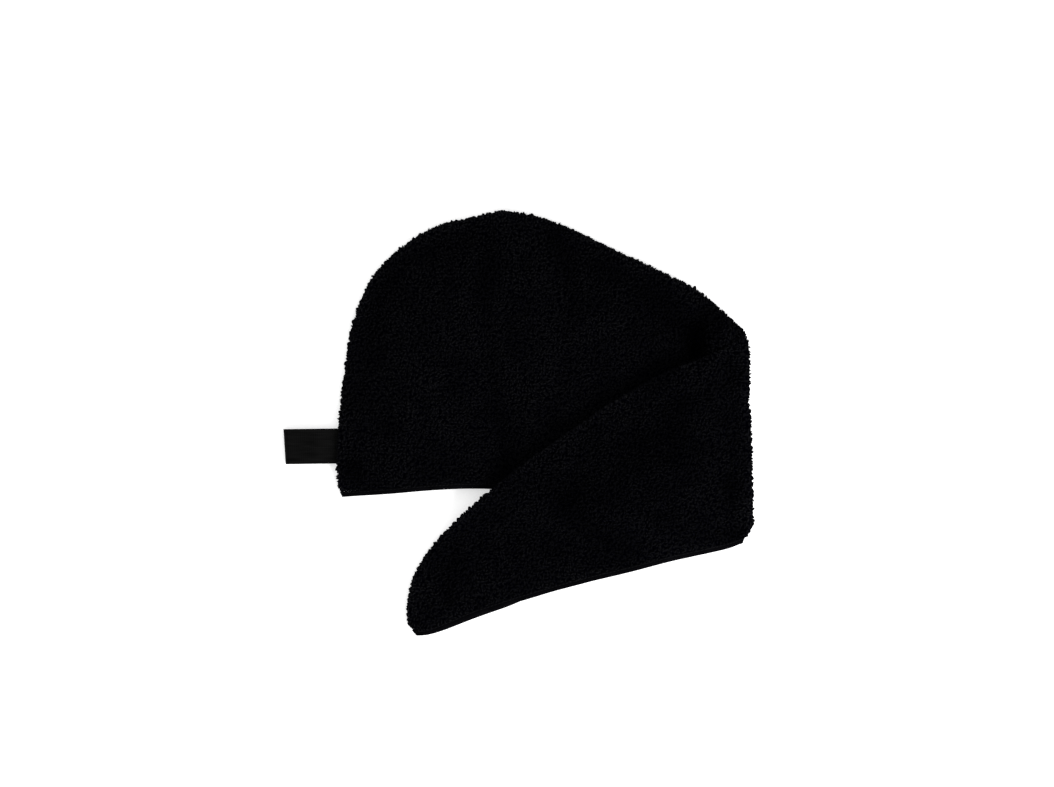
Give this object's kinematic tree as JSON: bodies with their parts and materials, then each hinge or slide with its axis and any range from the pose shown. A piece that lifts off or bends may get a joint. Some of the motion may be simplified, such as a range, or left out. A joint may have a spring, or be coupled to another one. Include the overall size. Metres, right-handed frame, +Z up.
{
  "type": "hair turban towel",
  "caption": "Terry hair turban towel lying folded: two panels sewn along a curved crown edge, an open hemmed edge, a tapered tail folded back over the hood, and an elastic loop at the nape.",
  "frame": {"origin": "middle of the whole folded towel in plan, at the level of the table that it lies on", "axes": "+X from the elastic loop to the fold, +Y from the open hem to the crown, +Z up from the table"},
  "size_m": [0.402, 0.363, 0.0255],
  "materials": {
    "terry_pile": "black cotton terry, looped pile on both faces, matt",
    "turned_hem": "narrow turned and stitched hem, smooth, matt",
    "elastic_band": "ribbed woven elastic, slight sheen"
  },
  "bodies": {
    "root": {"panel_under": "terry_pile", "panel_over": "terry_pile", "hem_under": "turned_hem", "hem_over": "turned_hem", "elastic_loop": "elastic_band"}
  },
  "joints": []
}
